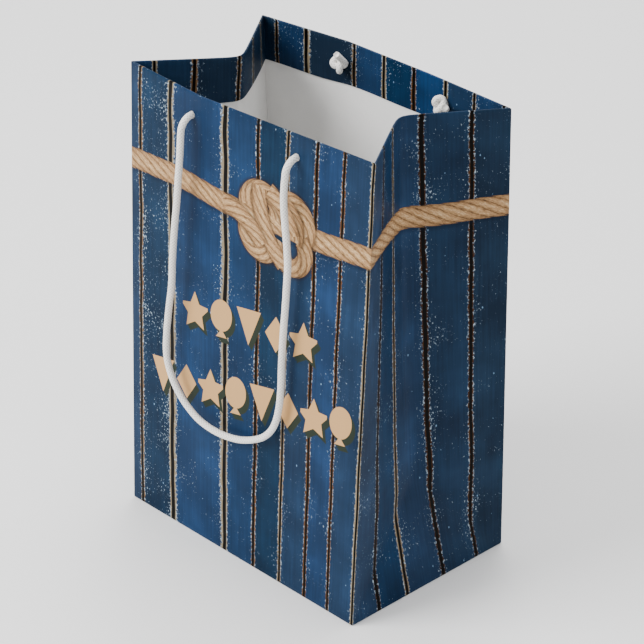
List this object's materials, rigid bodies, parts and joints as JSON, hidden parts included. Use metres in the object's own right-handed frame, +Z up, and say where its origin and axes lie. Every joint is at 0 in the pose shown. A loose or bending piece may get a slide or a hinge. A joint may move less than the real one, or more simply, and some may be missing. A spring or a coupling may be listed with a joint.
{
  "type": "gift bag",
  "caption": "Folded paper gift bag with block bottom, pinched gussets, turned-in rim over card strips, loose bottom board and swinging knotted cord handles",
  "frame": {"origin": "on the floor under the middle of the bag, at the bottom centre of the bounding box of everything but the cords", "axes": "+X to the right along the front panel, +Z up to the mouth, the front panel faces -Y"},
  "size_m": [0.1822, 0.1322, 0.273],
  "materials": {
    "printed_paper": "coated art paper printed with blue painted boards, satin, white uncoated inside",
    "grey_card": "plain matte card",
    "white_cord": "braided soft cord, matte"
  },
  "bodies": {
    "root": {"bag_body": "printed_paper", "front_top_card": "grey_card", "back_top_card": "grey_card", "bottom_board": "grey_card", "front_knot_left": "white_cord", "front_knot_right": "white_cord", "back_knot_left": "white_cord", "back_knot_right": "white_cord"},
    "front_handle": {"front_handle_cord": "white_cord"},
    "back_handle": {"back_handle_cord": "white_cord"}
  },
  "joints": [
    {"name": "front_handle_swing", "type": "hinge", "parent": "root", "child": "front_handle", "pos_m": [-0.00071, -0.06338, 0.26], "axis": [-0.9982, -0.0596, 0], "range_deg": [0, 180]},
    {"name": "back_handle_swing", "type": "hinge", "parent": "root", "child": "back_handle", "pos_m": [0.00419, 0.06085, 0.26], "axis": [0.9998, 0.0214, 0], "range_deg": [0, 180]}
  ]
}
